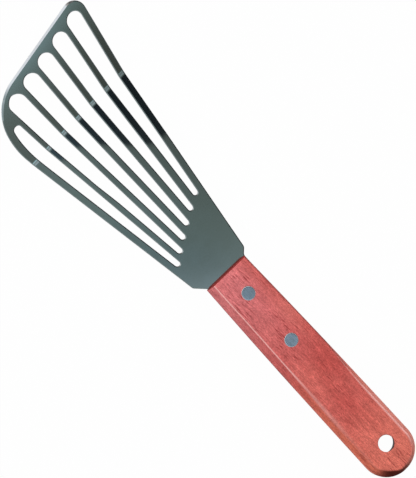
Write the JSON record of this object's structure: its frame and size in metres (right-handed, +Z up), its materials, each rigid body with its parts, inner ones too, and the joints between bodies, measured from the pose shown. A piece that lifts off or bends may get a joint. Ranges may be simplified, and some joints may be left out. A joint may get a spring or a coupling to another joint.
{
  "type": "slotted turner",
  "caption": "thin slotted steel turner blade with a lifted, slanted tip, riveted into a sawn kerf in a red-brown wooden handle with a hang hole",
  "frame": {"origin": "middle of the footprint, on the plane that the handle's underside lies on", "axes": "+X from the butt of the handle towards the blade's tip, +Y towards the blade's rounded corner, +Z up through the handle's thickness"},
  "size_m": [0.2876, 0.0732, 0.0201],
  "materials": {
    "blade_steel": "fine satin, bright ground edge at the tip",
    "handle_wood": "satin, fine dark pores along the grain",
    "rivet_steel": "ground flush with the wood"
  },
  "bodies": {
    "root": {"slotted_blade": "blade_steel", "wood_handle": "handle_wood", "front_rivet_post": "rivet_steel", "front_rivet_sleeve": "rivet_steel", "rear_rivet_post": "rivet_steel", "rear_rivet_sleeve": "rivet_steel"}
  },
  "joints": []
}
